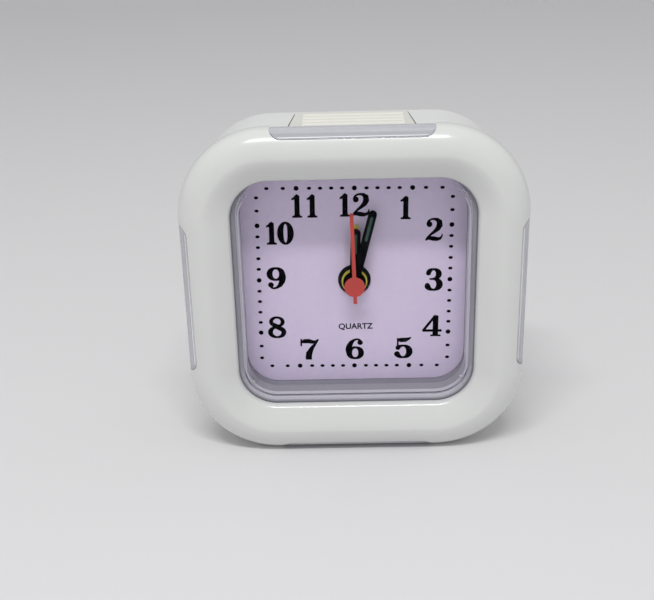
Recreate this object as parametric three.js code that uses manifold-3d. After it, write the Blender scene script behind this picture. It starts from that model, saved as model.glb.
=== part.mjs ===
// Square desk alarm clock with a quartz movement, in millimetres.
// X points right, Y from the face to the back, Z up.
// Every piece is drawn about the hand axis (x = 0, z = 0), with y = 0 at the edge of the
// bezel's opening. At the end all pieces are moved so that the clock stands on z = 0.
import * as THREE from 'three';
import { mergeVertices } from 'three/addons/utils/BufferGeometryUtils.js';
import Module from 'manifold-3d';

const wasm = await Module();
wasm.setup();

// ---------------------------------------------------------------- dimensions
const CORNER_CENTRE = 20.2; // every rounded square has its corner arcs centred here
const BEZEL_HALF = 42.4; // half the width of the front ring
const OPENING_HALF = 29.8; // half the width of the ring's opening
const CROWN_HALF = 35.0; // where the domed ring is highest
const CROWN_Y = -4.6;
const DOME_Y = 1.0; // depth of the dome's centre
const LIP_RADIUS = 1.5; // rounding at the edge of the opening
const LIP_Y = -0.7;
const RIM_Y = 2.0; // back edge of the ring
const NOTCH_HALF_LENGTH = 19.4; // notch in the middle of each side of the ring
const NOTCH_Y = -3.05;
const NOTCH_FLOOR = 39.0;
const GAP = 0.3; // air between neighbouring pieces

const CRYSTAL_FRONT_Y = GAP;
const PANE_THICKNESS = 1.5;
const CRYSTAL_OUTER = 29.5;
const CRYSTAL_INNER = 28.1;
const CRYSTAL_LEDGE_Y = 6.8; // step half way down the crystal's side walls
const DIAL_HALF = 28.4;
const DIAL_Y = 10.0;
const DIAL_THICKNESS = 0.8;

const CASE_FRONT_Y = 1.4;
const CASE_FRONT_HALF = 40.4;
const CASE_BACK_HALF = 39.9;
const CASE_BACK_Y = 29.0;
const CASE_EDGE_RADIUS = 3.0;
const CASE_WALL = 1.8;
const POST_AT = 31.0; // case screws, on the diagonals
const FOOT_TOP = 38.6;

const MOVEMENT_HALF_X = 25.0;
const MOVEMENT_BOTTOM = -19.8;
const MOVEMENT_TOP = 25.5;
const MOVEMENT_FRONT_Y = 11.1;
const MOVEMENT_SPLIT_Y = 17.0;
const MOVEMENT_BACK_Y = 24.0;
const PLATE = 1.1; // thickness of the movement's walls

const SECOND_HAND_Y = 4.7;
const MINUTE_HAND_Y = 6.9;
const HOUR_HAND_Y = 7.9;
const ALARM_HAND_Y = 8.8;
const HAND_THICKNESS = 0.4;

const CELL_RADIUS = 7.1; // AA cell
const CELL_HALF_LENGTH = 24.6;
const CELL_Y = 19.6;
const CELL_Z = -28.6;

const KNOB_AT = [8.5, -11.0]; // alarm knob; the time knob mirrors it
const KNOB_RADIUS = 5.0;

// ---------------------------------------------------------------- helpers
const group = new THREE.Group();
group.name = 'alarm_clock';
const radians = (degrees) => (degrees * Math.PI) / 180;

function add(name, geometry, color, options = {}) {
  const { roughness = 0.4, metalness = 0, opacity = 1 } = options;
  const material = new THREE.MeshStandardMaterial({ color, roughness, metalness });
  if (opacity < 1) {
    material.transparent = true;
    material.opacity = opacity;
  }
  material.name = name;
  const mesh = new THREE.Mesh(geometry, material);
  mesh.name = name;
  group.add(mesh);
}

function toSolid(geometry) {
  const plain = geometry.clone();
  plain.deleteAttribute('normal');
  plain.deleteAttribute('uv');
  const merged = mergeVertices(plain, 1e-4);
  return new wasm.Manifold(new wasm.Mesh({
    numProp: 3,
    vertProperties: new Float32Array(merged.attributes.position.array),
    triVerts: new Uint32Array(merged.index.array),
  }));
}

function toGeometry(solid) {
  const mesh = solid.getMesh();
  const geometry = new THREE.BufferGeometry();
  geometry.setAttribute('position', new THREE.BufferAttribute(mesh.vertProperties, 3));
  geometry.setIndex(new THREE.BufferAttribute(mesh.triVerts, 1));
  geometry.computeVertexNormals();
  return geometry;
}

function join(first, ...others) {
  return toGeometry(others.reduce((sum, other) => sum.add(toSolid(other)), toSolid(first)));
}

function cut(first, ...others) {
  return toGeometry(others.reduce((rest, other) => rest.subtract(toSolid(other)), toSolid(first)));
}

function common(first, second) {
  return toGeometry(toSolid(first).intersect(toSolid(second)));
}

// Box between two opposite corners.
function box(x0, x1, y0, y1, z0, z1) {
  const geometry = new THREE.BoxGeometry(x1 - x0, y1 - y0, z1 - z0);
  return geometry.translate((x0 + x1) / 2, (y0 + y1) / 2, (z0 + z1) / 2);
}

// Round bar along Y.
function bar(radius, y0, y1, at = [0, 0], sides = 24) {
  const geometry = new THREE.CylinderGeometry(radius, radius, y1 - y0, sides);
  return geometry.translate(at[0], (y0 + y1) / 2, at[1]);
}

// Flat shape in the X-Z plane, given thickness along Y.
function plate(shape, y0, y1, steps = 6) {
  const geometry = new THREE.ExtrudeGeometry(shape, {
    depth: y1 - y0,
    bevelEnabled: false,
    curveSegments: steps,
  });
  return geometry.rotateX(Math.PI / 2).translate(0, y1, 0);
}

// Body of revolution about the Y axis through `at`; the profile is a list of [radius, y]
// that starts and ends on the axis, with y rising.
function turned(profile, at = [0, 0], sides = 24) {
  const points = profile.map(([radius, y]) => new THREE.Vector2(radius, y));
  return new THREE.LatheGeometry(points, sides).translate(at[0], 0, at[1]);
}

function polygon(points) {
  return new THREE.Shape(points.map(([x, z]) => new THREE.Vector2(x, z)));
}

// Rectangle with round corners, between x0..x1 and z0..z1.
function roundedRectangle(x0, x1, z0, z1, radius) {
  const shape = new THREE.Shape();
  shape.absarc(x1 - radius, z1 - radius, radius, 0, Math.PI / 2);
  shape.absarc(x0 + radius, z1 - radius, radius, Math.PI / 2, Math.PI);
  shape.absarc(x0 + radius, z0 + radius, radius, Math.PI, Math.PI * 1.5);
  shape.absarc(x1 - radius, z0 + radius, radius, Math.PI * 1.5, Math.PI * 2);
  return shape;
}

// Rounded square of the given half width, all of whose corner arcs share CORNER_CENTRE.
function squareLoop([half, y], arcSteps) {
  const loop = [];
  for (let corner = 0; corner < 4; corner += 1) {
    const start = corner * 90;
    const cx = CORNER_CENTRE * Math.sign(Math.cos(radians(start + 45)));
    const cz = CORNER_CENTRE * Math.sign(Math.sin(radians(start + 45)));
    for (let i = 0; i <= arcSteps; i += 1) {
      const angle = radians(start + (90 * i) / arcSteps);
      const radius = half - CORNER_CENTRE;
      loop.push([cx + radius * Math.cos(angle), y, cz + radius * Math.sin(angle)]);
    }
  }
  return loop;
}

// Skin over a row of rounded squares, each given as [half width, y]. A closed row makes a
// ring; an open row, given from front to back, is closed with two flat ends.
function squareSkin(levels, closed, arcSteps = 12) {
  const loops = levels.map((level) => squareLoop(level, arcSteps));
  const count = loops[0].length;
  const vertices = loops.flat(2);
  const faces = [];
  const rows = closed ? levels.length : levels.length - 1;
  for (let row = 0; row < rows; row += 1) {
    const here = row * count;
    const next = ((row + 1) % levels.length) * count;
    for (let i = 0; i < count; i += 1) {
      const j = (i + 1) % count;
      faces.push(here + i, next + i, next + j, here + i, next + j, here + j);
    }
  }
  if (!closed) {
    const last = (levels.length - 1) * count;
    for (let i = 1; i < count - 1; i += 1) {
      faces.push(0, i, i + 1, last, last + i + 1, last + i);
    }
  }
  const geometry = new THREE.BufferGeometry();
  geometry.setAttribute('position', new THREE.Float32BufferAttribute(vertices, 3));
  geometry.setIndex(faces);
  geometry.computeVertexNormals();
  return geometry;
}

// Points on an ellipse in the [half width, y] plane; 0 degrees points outwards, 90 to the front.
function domeArc(half, y, halfRadius, yRadius, from, to, steps) {
  const points = [];
  for (let i = 0; i <= steps; i += 1) {
    const angle = radians(from + ((to - from) * i) / steps);
    points.push([half + halfRadius * Math.cos(angle), y - yRadius * Math.sin(angle)]);
  }
  return points;
}

// Point at a distance and an angle (degrees from +X towards +Z) from another point.
function polar(distance, degrees, from = [0, 0]) {
  const angle = radians(degrees);
  return [from[0] + distance * Math.cos(angle), from[1] + distance * Math.sin(angle)];
}

// Third corner of a triangle on two points, on the right-hand side going from a to b.
function apex(a, b, fromA, fromB) {
  const dx = b[0] - a[0];
  const dz = b[1] - a[1];
  const span = Math.hypot(dx, dz);
  const along = (fromA ** 2 + span ** 2 - fromB ** 2) / (2 * span);
  const aside = Math.sqrt(fromA ** 2 - along ** 2);
  return [
    a[0] + (dx * along + dz * aside) / span,
    a[1] + (dz * along - dx * aside) / span,
  ];
}

// ---------------------------------------------------------------- gears
// A gear is { at, teeth, module, phase }; phase is the angle of its first tooth.
function gear(at, teeth, module, phase = 0) {
  return { at, teeth, module, phase };
}

// Gear that meshes with another one: a gap of the new gear faces a tooth of the first.
function meshed(first, at, teeth) {
  const dx = at[0] - first.at[0];
  const dz = at[1] - first.at[1];
  const module = (2 * Math.hypot(dx, dz)) / (first.teeth + teeth);
  const direction = Math.atan2(dz, dx);
  const step = (2 * Math.PI) / teeth;
  const toothOfFirst = ((direction - first.phase) * first.teeth) / (2 * Math.PI);
  return gear(at, teeth, module, direction + Math.PI - (0.5 - toothOfFirst) * step);
}

function toothed(wheel, y0, y1) {
  const step = (2 * Math.PI) / wheel.teeth;
  const root = wheel.module * (wheel.teeth / 2 - 1.15);
  const tip = wheel.module * (wheel.teeth / 2 + 0.85);
  const outline = [];
  for (let i = 0; i < wheel.teeth; i += 1) {
    for (const [radius, offset] of [[root, -0.29], [tip, -0.13], [tip, 0.13], [root, 0.29]]) {
      const angle = wheel.phase + (i + offset) * step;
      outline.push([
        wheel.at[0] + radius * Math.cos(angle),
        wheel.at[1] + radius * Math.sin(angle),
      ]);
    }
  }
  return plate(polygon(outline), y0, y1);
}

// ---------------------------------------------------------------- bezel
const bezelSection = [
  [BEZEL_HALF, RIM_Y],
  ...domeArc(CROWN_HALF, DOME_Y, BEZEL_HALF - CROWN_HALF, DOME_Y - CROWN_Y, 0, 82, 9),
  [34.75, -4.27],
  [32.95, -3.43],
  ...domeArc(OPENING_HALF + LIP_RADIUS, LIP_Y, LIP_RADIUS, LIP_RADIUS, 122, 180, 3),
  [OPENING_HALF, 0],
  [31.2, 0],
  [33.4, -3.0],
  [37.4, -2.3],
  [40.7, 0.6],
  [40.8, RIM_Y],
];
const bezelRing = squareSkin(bezelSection.reverse(), true, 12);

// Tab-shaped block for the notch in the top side; the other three are turned copies.
function notchBlock(clearance, floor) {
  const half = NOTCH_HALF_LENGTH - clearance;
  const front = NOTCH_Y + clearance;
  const radius = 2.5 - clearance;
  const shape = new THREE.Shape();
  shape.moveTo(half, RIM_Y + 1);
  shape.lineTo(half, front + radius);
  shape.absarc(half - radius, front + radius, radius, 0, -Math.PI / 2, true);
  shape.absarc(radius - half, front + radius, radius, -Math.PI / 2, -Math.PI, true);
  shape.lineTo(-half, RIM_Y + 1);
  const geometry = new THREE.ExtrudeGeometry(shape, {
    depth: BEZEL_HALF + 1 - floor,
    bevelEnabled: false,
    curveSegments: 4,
  });
  return geometry.translate(0, 0, floor);
}

function onEachSide(geometry) {
  return [0, 1, 2, 3].map((turn) => geometry.clone().rotateY((turn * Math.PI) / 2));
}

const postPlaces = [[1, 1], [-1, 1], [-1, -1], [1, -1]].map(([sx, sz]) => [sx * POST_AT, sz * POST_AT]);
const posts = postPlaces.map((at) => bar(2.0, -3.6, 20.4, at, 14));
const pilotHoles = postPlaces.map((at) => bar(1.25, 12.0, 21.0, at, 10));
add(
  'bezel',
  cut(join(cut(bezelRing, ...onEachSide(notchBlock(0, NOTCH_FLOOR))), ...posts), ...pilotHoles),
  0xf4f5f2,
  { roughness: 0.18 },
);

// ---------------------------------------------------------------- crystal
// A box-shaped window: pane, side walls with a ledge, a flange behind the ring's lip and
// four tabs that fill the ring's notches.
const crystalBody = squareSkin([
  [CRYSTAL_OUTER, CRYSTAL_FRONT_Y],
  [CRYSTAL_OUTER, DIAL_Y - GAP],
], false, 10);
const crystalHollow = squareSkin([
  [CRYSTAL_INNER, CRYSTAL_FRONT_Y + PANE_THICKNESS],
  [CRYSTAL_INNER, CRYSTAL_LEDGE_Y],
  [CRYSTAL_INNER + 0.6, CRYSTAL_LEDGE_Y + 0.2],
  [CRYSTAL_INNER + 0.6, DIAL_Y + 1],
], false, 10);
const flange = squareSkin([[30.6, CRYSTAL_FRONT_Y], [30.6, 1.1]], false, 10);
const armBlock = box(-16, 16, CRYSTAL_FRONT_Y, 1.1, 29, 40.5);
const tabSkin = squareSkin([
  ...domeArc(CROWN_HALF, DOME_Y, 7.2, 5.4, 80, 0, 8),
  [42.2, 1.1],
], false, 12);
const tab = common(tabSkin, notchBlock(GAP, NOTCH_FLOOR + GAP));
const tabGroove = box(-18, 18, -2.3, -1.9, 40.4, 43);
const sides = [...onEachSide(armBlock), ...onEachSide(cut(tab, tabGroove))];
add(
  'crystal',
  cut(join(crystalBody, flange, ...sides), crystalHollow),
  0xe8e6f0,
  { roughness: 0.05, opacity: 0.3 },
);

// ---------------------------------------------------------------- dial
add(
  'dial',
  cut(
    squareSkin([[DIAL_HALF, DIAL_Y], [DIAL_HALF, DIAL_Y + DIAL_THICKNESS]], false, 10),
    bar(4.2, DIAL_Y - 1, DIAL_Y + 2, [0, 0], 32),
  ),
  0xc4b4d6,
  { roughness: 0.7 },
);

// ---------------------------------------------------------------- gear places
// Running train: rotor 8 - fifth 40/8 - second 48/8 - third 64/8 - centre 60.
const thirdAt = polar(9.0, 180);
const fifthAt = polar(9.1, 60);
const rotorAt = polar(6.0, 50, fifthAt);
const secondPinion = gear([0, 0], 8, 0.25);
const thirdWheel = meshed(secondPinion, thirdAt, 64);
const centreWheel = gear([0, 0], 60, 18 / 68);
const thirdPinion = meshed(centreWheel, thirdAt, 8);
const secondWheel = gear([0, 0], 48, 9.1 / 28);
const fifthPinion = meshed(secondWheel, fifthAt, 8);
const fifthWheel = gear(fifthAt, 40, 0.25);
const rotorPinion = meshed(fifthWheel, rotorAt, 8);

// Setting train: time shaft 12 - minute wheel 36/10 - cannon pinion 12 and hour wheel 40.
const timeShaftAt = [-KNOB_AT[0], KNOB_AT[1]];
const minuteAt = apex(timeShaftAt, [0, 0], 7.2, 7.2);
const cannonPinion = gear([0, 0], 12, 0.3);
const minuteWheel = meshed(cannonPinion, minuteAt, 36);
const timePinion = meshed(minuteWheel, timeShaftAt, 12);
const minutePinion = gear(minuteAt, 10, 0.288);
const hourWheel = meshed(minutePinion, [0, 0], 40);

// Alarm train: alarm shaft 12 - idler 24 - alarm wheel 36.
const idlerAt = apex([0, 0], KNOB_AT, 9.0, 5.4);
const alarmWheel = gear([0, 0], 36, 0.3);
const idler = meshed(alarmWheel, idlerAt, 24);
const alarmPinion = meshed(idler, KNOB_AT, 12);

// ---------------------------------------------------------------- train
const BRASS = { roughness: 0.35, metalness: 0.9 };
const STEEL = { roughness: 0.3, metalness: 1 };
const NYLON = { roughness: 0.55 };
const REAR_PIVOT_Y = MOVEMENT_BACK_Y - PLATE + 0.6;
const FRONT_PIVOT_Y = MOVEMENT_FRONT_Y + PLATE - 0.6;
const PIVOT = 0.35;
const SHAFT_HOLE = 1.35; // in the movement's back, for the two setting shafts

add(
  'second_wheel',
  join(
    toothed(secondWheel, 20.8, 21.5),
    toothed(secondPinion, 18.9, 20.8),
    bar(0.45, SECOND_HAND_Y + 0.15, 22.6, [0, 0], 12),
    bar(PIVOT, 22.5, REAR_PIVOT_Y, [0, 0], 12),
  ),
  0xe9e4d0,
  NYLON,
);
add(
  'third_wheel',
  join(
    toothed(thirdWheel, 19.2, 19.9),
    toothed(thirdPinion, 17.4, 19.2),
    bar(PIVOT, FRONT_PIVOT_Y, REAR_PIVOT_Y, thirdAt, 12),
  ),
  0xe9e4d0,
  NYLON,
);
add(
  'centre_wheel',
  cut(
    join(toothed(centreWheel, 17.6, 18.3), bar(2.2, 17.2, 18.5)),
    bar(1.35, 16.0, 19.0, [0, 0], 20),
  ),
  0xe9e4d0,
  NYLON,
);
add(
  'fifth_wheel',
  join(
    toothed(fifthWheel, 19.2, 19.9),
    toothed(fifthPinion, 19.9, 21.8),
    bar(PIVOT, FRONT_PIVOT_Y, REAR_PIVOT_Y, fifthAt, 12),
  ),
  0xe9e4d0,
  NYLON,
);
add(
  'rotor',
  join(
    toothed(rotorPinion, 19.0, 20.2),
    bar(PIVOT, FRONT_PIVOT_Y, REAR_PIVOT_Y, rotorAt, 12),
    bar(0.8, 15.2, 15.6, rotorAt, 12),
  ),
  0xdedede,
  NYLON,
);
add(
  'rotor_magnet',
  cut(bar(2.2, 15.8, 17.6, rotorAt, 24), bar(0.5, 15.0, 18.0, rotorAt, 12)),
  0x3a3a3d,
  { roughness: 0.5, metalness: 0.6 },
);
add(
  'cannon_pinion',
  cut(
    join(toothed(cannonPinion, 15.1, 16.8), bar(1.15, MINUTE_HAND_Y, 18.6, [0, 0], 20)),
    bar(0.65, 0, 20, [0, 0], 16),
  ),
  0xd9b45a,
  BRASS,
);
add(
  'minute_wheel',
  cut(
    join(toothed(minuteWheel, 15.3, 16.1), toothed(minutePinion, 13.8, 15.3)),
    bar(0.75, 12, 18, minuteAt, 16),
  ),
  0xe9e4d0,
  NYLON,
);
add(
  'hour_wheel',
  cut(
    join(toothed(hourWheel, 13.9, 14.7), bar(1.85, HOUR_HAND_Y, 14.7, [0, 0], 24)),
    bar(1.3, 0, 20, [0, 0], 20),
  ),
  0xe9e4d0,
  NYLON,
);
add(
  'alarm_wheel',
  cut(
    join(toothed(alarmWheel, 12.7, 13.5), bar(2.5, ALARM_HAND_Y, 13.5, [0, 0], 24)),
    bar(2.0, 0, 20, [0, 0], 24),
  ),
  0xe9e4d0,
  NYLON,
);
add(
  'alarm_idler',
  cut(toothed(idler, 12.7, 13.5), bar(0.95, 12, 15, idlerAt, 16)),
  0xe9e4d0,
  NYLON,
);
for (const [name, pinion, y0, y1] of [
  ['time_shaft', timePinion, 15.1, 16.3],
  ['alarm_shaft', alarmPinion, 12.7, 13.5],
]) {
  add(
    name,
    join(
      toothed(pinion, y0, y1),
      bar(1.2, y1, 30.4, pinion.at, 16),
      bar(PIVOT, FRONT_PIVOT_Y, y0 + 0.1, pinion.at, 12),
    ),
    0xe9e4d0,
    NYLON,
  );
}

// ---------------------------------------------------------------- hands
// Hand outline pointing up (+Z): a round hub, a blade with a round or square tip, a tail.
function handPlate({ hub, length, width, tail = 0, squareTip = false, turn, y }) {
  const half = width / 2;
  const shape = new THREE.Shape();
  const blade = Math.asin(half / hub);
  shape.absarc(0, 0, hub, Math.PI / 2 + blade, Math.PI * 1.5 - blade);
  if (tail > 0) {
    shape.lineTo(-half, -tail);
    shape.lineTo(half, -tail);
  }
  shape.absarc(0, 0, hub, -Math.PI / 2 + blade, Math.PI / 2 - blade);
  if (squareTip) {
    shape.lineTo(half, length);
    shape.lineTo(-half, length);
  } else {
    shape.absarc(0, length - half, half, 0, Math.PI);
  }
  return plate(shape, y, y + HAND_THICKNESS, 7).rotateY(radians(turn));
}

const hands = [
  ['second_hand', 0.55, 0xb5403c,
    { hub: 2.6, length: 19.4, width: 0.95, tail: 4.5, squareTip: true, turn: -1.5, y: SECOND_HAND_Y }],
  ['minute_hand', 1.25, 0x0c0c0e,
    { hub: 2.5, length: 20.0, width: 2.1, turn: 14.5, y: MINUTE_HAND_Y }],
  ['hour_hand', 1.95, 0x0c0c0e,
    { hub: 2.9, length: 14.3, width: 2.5, turn: 2.2, y: HOUR_HAND_Y }],
  ['alarm_hand', 2.6, 0xcfc45a,
    { hub: 3.3, length: 15.2, width: 1.3, turn: 2.2, y: ALARM_HAND_Y }],
];
for (const [name, bore, color, hand] of hands) {
  const hole = bar(bore, hand.y - (name === 'second_hand' ? -0.12 : 1), hand.y + 2, [0, 0], 20);
  add(name, cut(handPlate(hand), hole), color, { roughness: 0.45 });
}

// ---------------------------------------------------------------- motor and electronics
const coilZ = 20.5;
const coilY = 16.7;
const stator = polygon([
  [-13, 22.8], [-13, 8.9], [13, 8.9], [13, 22.8],
  [9.7, 22.8], [9.7, 16.2], [-9.7, 16.2], [-9.7, 22.8],
]);
add(
  'stator',
  cut(plate(stator, 16.2, 17.2), bar(2.7, 15, 19, rotorAt, 24)),
  0xb8bcc0,
  STEEL,
);

// Round bar along X.
function crossBar(radius, x0, x1, y, z, sides = 20) {
  const geometry = new THREE.CylinderGeometry(radius, radius, x1 - x0, sides);
  return geometry.rotateZ(Math.PI / 2).translate((x0 + x1) / 2, y, z);
}
add(
  'coil_bobbin',
  join(
    crossBar(1.4, -9.4, 9.4, coilY, coilZ),
    crossBar(3.3, -9.4, -8.6, coilY, coilZ),
    crossBar(3.3, 8.6, 9.4, coilY, coilZ),
  ),
  0xe7e2d2,
  NYLON,
);
add(
  'coil_winding',
  cut(
    crossBar(2.9, -8.3, 8.3, coilY, coilZ),
    crossBar(1.6, -9, 9, coilY, coilZ),
  ),
  0xb06a35,
  { roughness: 0.35, metalness: 0.8 },
);
add('circuit_board', box(14.5, 23.4, 20.2, 21.2, -17.8, 6.0), 0x2f6b3c, { roughness: 0.5 });
add(
  'chip_cover',
  turned([[0, 18.7], [1.6, 18.8], [2.7, 19.3], [3.1, 19.95], [0, 19.95]], [19, -6], 20),
  0x17171a,
  { roughness: 0.3 },
);
const crystalCan = new THREE.CylinderGeometry(0.95, 0.95, 6, 16).rotateX(Math.PI / 2);
add('quartz_can', crystalCan.translate(18.5, 18.9, 1.6), 0xc9ccd0, STEEL);

// ---------------------------------------------------------------- movement housing
function tray(y0, y1, plateY0, plateY1) {
  const outer = roundedRectangle(
    -MOVEMENT_HALF_X, MOVEMENT_HALF_X, MOVEMENT_BOTTOM, MOVEMENT_TOP, 2.5,
  );
  const inner = roundedRectangle(
    PLATE - MOVEMENT_HALF_X, MOVEMENT_HALF_X - PLATE,
    MOVEMENT_BOTTOM + PLATE, MOVEMENT_TOP - PLATE, 1.5,
  );
  return join(
    cut(plate(outer, y0, y1, 4), plate(inner, y0 - 1, y1 + 1, 4)),
    plate(outer, plateY0, plateY1, 4),
  );
}
const pivotPlaces = [thirdAt, fifthAt, rotorAt];
const FRONT_INNER_Y = MOVEMENT_FRONT_Y + PLATE;
const BACK_INNER_Y = MOVEMENT_BACK_Y - PLATE;
const movementScrews = [[-22, -16.8], [-22, 22.5]];
add(
  'movement_front',
  cut(
    join(
      tray(MOVEMENT_FRONT_Y, MOVEMENT_SPLIT_Y - 0.15, MOVEMENT_FRONT_Y, FRONT_INNER_Y),
      bar(3.9, 9.4, MOVEMENT_FRONT_Y + 0.5, [0, 0], 32),
      bar(0.6, FRONT_INNER_Y - 0.5, 16.5, minuteAt, 12),
      bar(0.8, FRONT_INNER_Y - 0.5, 14.2, idlerAt, 12),
      ...movementScrews.map((at) => bar(1.7, FRONT_INNER_Y - 0.5, BACK_INNER_Y - GAP, at, 16)),
    ),
    bar(2.65, 8, 13, [0, 0], 24),
    ...[...pivotPlaces, timeShaftAt, KNOB_AT].map((at) => bar(
      PIVOT + 0.15, FRONT_PIVOT_Y - 0.1, 13, at, 12,
    )),
    ...movementScrews.map((at) => bar(0.95, 18, 24, at, 12)),
  ),
  0x141416,
  { roughness: 0.5 },
);
add(
  'movement_rear',
  cut(
    tray(MOVEMENT_SPLIT_Y + 0.15, MOVEMENT_BACK_Y, BACK_INNER_Y, MOVEMENT_BACK_Y),
    ...[[0, 0], ...pivotPlaces].map((at) => bar(PIVOT + 0.15, 22, REAR_PIVOT_Y + 0.1, at, 12)),
    ...[timeShaftAt, KNOB_AT].map((at) => bar(SHAFT_HOLE, 22, 25, at, 20)),
    ...movementScrews.map((at) => bar(1.1, 22, 25, at, 16)),
  ),
  0x1b1b1e,
  { roughness: 0.5 },
);

// Pan-head screw driven from the back: head in front of yHead, shank towards the face.
function screw(at, yHead, headRadius, shankRadius, length) {
  const body = turned([
    [0, yHead - length],
    [shankRadius, yHead - length],
    [shankRadius, yHead],
    [headRadius, yHead],
    [headRadius, yHead + 0.8],
    [0, yHead + 1.3],
  ], at, 12);
  const arm = headRadius * 0.62;
  const top = yHead + 2;
  const slotA = box(at[0] - arm, at[0] + arm, yHead + 0.6, top, at[1] - 0.22, at[1] + 0.22);
  const slotB = box(at[0] - 0.22, at[0] + 0.22, yHead + 0.6, top, at[1] - arm, at[1] + arm);
  return cut(body, slotA, slotB);
}
movementScrews.forEach((at, index) => {
  add(`movement_screw_${index + 1}`, screw(at, MOVEMENT_BACK_Y + 0.1, 1.7, 0.8, 5), 0xb9bcc0, STEEL);
});

// ---------------------------------------------------------------- battery and contacts
const cellShape = [
  [0, -CELL_HALF_LENGTH], [6.4, -CELL_HALF_LENGTH], [CELL_RADIUS, -CELL_HALF_LENGTH + 0.5],
  [CELL_RADIUS, CELL_HALF_LENGTH - 1.2], [6.4, CELL_HALF_LENGTH - 0.7],
  [2.7, CELL_HALF_LENGTH - 0.7], [2.6, CELL_HALF_LENGTH + 0.4], [0, CELL_HALF_LENGTH + 0.5],
];
add(
  'battery_cell',
  turned(cellShape, [0, 0], 28).rotateZ(-Math.PI / 2).translate(0, CELL_Y, CELL_Z),
  0x2b4b7a,
  { roughness: 0.35, metalness: 0.4 },
);
add(
  'contact_plus',
  join(
    box(25.5, 25.9, CELL_Y - 5, CELL_Y + 5, CELL_Z - 5, CELL_Z + 6),
    box(25.5, 25.9, CELL_Y - 1.5, CELL_Y + 1.5, CELL_Z + 5, CELL_Z + 13),
  ),
  0xc8cacc,
  STEEL,
);

class ConeSpring extends THREE.Curve {
  getPoint(t) {
    const angle = t * Math.PI * 2 * 3.25;
    const radius = 1.6 + 2.2 * t;
    return new THREE.Vector3(
      -24.95 - 1.0 * t,
      CELL_Y + radius * Math.cos(angle),
      CELL_Z + radius * Math.sin(angle),
    );
  }
}
const wireRing = new THREE.Shape();
wireRing.absarc(0, 0, 0.25, 0, Math.PI * 2);
const spring = new THREE.ExtrudeGeometry(wireRing, {
  extrudePath: new ConeSpring(),
  steps: 30,
  curveSegments: 3,
});
add('contact_minus_spring', toGeometry(toSolid(spring)), 0xc8cacc, STEEL);
add(
  'contact_minus',
  join(
    box(-26.8, -26.45, CELL_Y - 5, CELL_Y + 5, CELL_Z - 5, CELL_Z + 6),
    box(-26.8, -26.45, CELL_Y - 1.5, CELL_Y + 1.5, CELL_Z + 5, CELL_Z + 13),
  ),
  0xc8cacc,
  STEEL,
);

// ---------------------------------------------------------------- buzzer
const buzzerAt = [0, 13];
add('buzzer_disc', bar(8.4, 24.5, 24.9, buzzerAt, 32), 0xd2ab55, BRASS);
add(
  'buzzer_ring',
  cut(bar(9.4, 25.2, 26.7, buzzerAt, 32), bar(7.8, 24, 28, buzzerAt, 32)),
  0xe8e8e4,
  NYLON,
);

// ---------------------------------------------------------------- snooze button
const BUTTON_FRONT_Y = 9.9;
const BUTTON_BACK_Y = 24.3;
const BUTTON_TOP = 40.1;
// Slightly tapered plan of the button, grown by a clearance on every side.
function buttonPlan(grow, z0, z1) {
  const shape = polygon([
    [-15.3 - grow, BUTTON_FRONT_Y - grow], [15.3 + grow, BUTTON_FRONT_Y - grow],
    [14.1 + grow, BUTTON_BACK_Y + grow], [-14.1 - grow, BUTTON_BACK_Y + grow],
  ]);
  const geometry = new THREE.ExtrudeGeometry(shape, { depth: z1 - z0, bevelEnabled: false });
  return geometry.translate(0, 0, z0);
}
const buttonRibs = [12.0, 15.2, 18.4, 21.6].map((y) => {
  const geometry = new THREE.CylinderGeometry(0.75, 0.75, 25, 12);
  return geometry.rotateZ(Math.PI / 2).translate(0.4, y, BUTTON_TOP - 0.35);
});
add(
  'snooze_button',
  join(
    buttonPlan(0, 37.0, BUTTON_TOP),
    buttonPlan(1.2, 36.4, 37.4),
    box(-3.5, 3.5, 14, 19, 30.2, 36.6),
    ...buttonRibs,
  ),
  0xf2efe2,
  { roughness: 0.3 },
);
add(
  'snooze_contact',
  join(
    box(-9, 9, 15.5, 17.5, 28.0, 28.3),
    box(-9, -8.7, 15.5, 17.5, 26.0, 28.2),
    box(8.7, 9, 15.5, 17.5, 26.0, 28.2),
  ),
  0xc8cacc,
  STEEL,
);

// ---------------------------------------------------------------- alarm switch
const SWITCH_AT = [19.5, 14.0];
const SWITCH_TRAVEL = 4.0; // the thumb piece is stored at the top end of its slot

// Box centred on the switch, raised by dz.
function switchBlock(halfWidth, y0, y1, halfHeight, dz = 0) {
  const [x, z] = SWITCH_AT;
  return box(x - halfWidth, x + halfWidth, y0, y1, z + dz - halfHeight, z + dz + halfHeight);
}
add(
  'alarm_switch',
  join(
    switchBlock(2.6, 25.9, 26.8, 3.6),
    switchBlock(1.2, 26.5, 29.4, 1.5),
    switchBlock(1.9, 29.3, 30.2, 2.0),
    ...[-1.2, 0, 1.2].map((dz) => switchBlock(1.9, 30.0, 30.6, 0.25, dz)),
  ),
  0x202124,
  { roughness: 0.5 },
);

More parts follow.
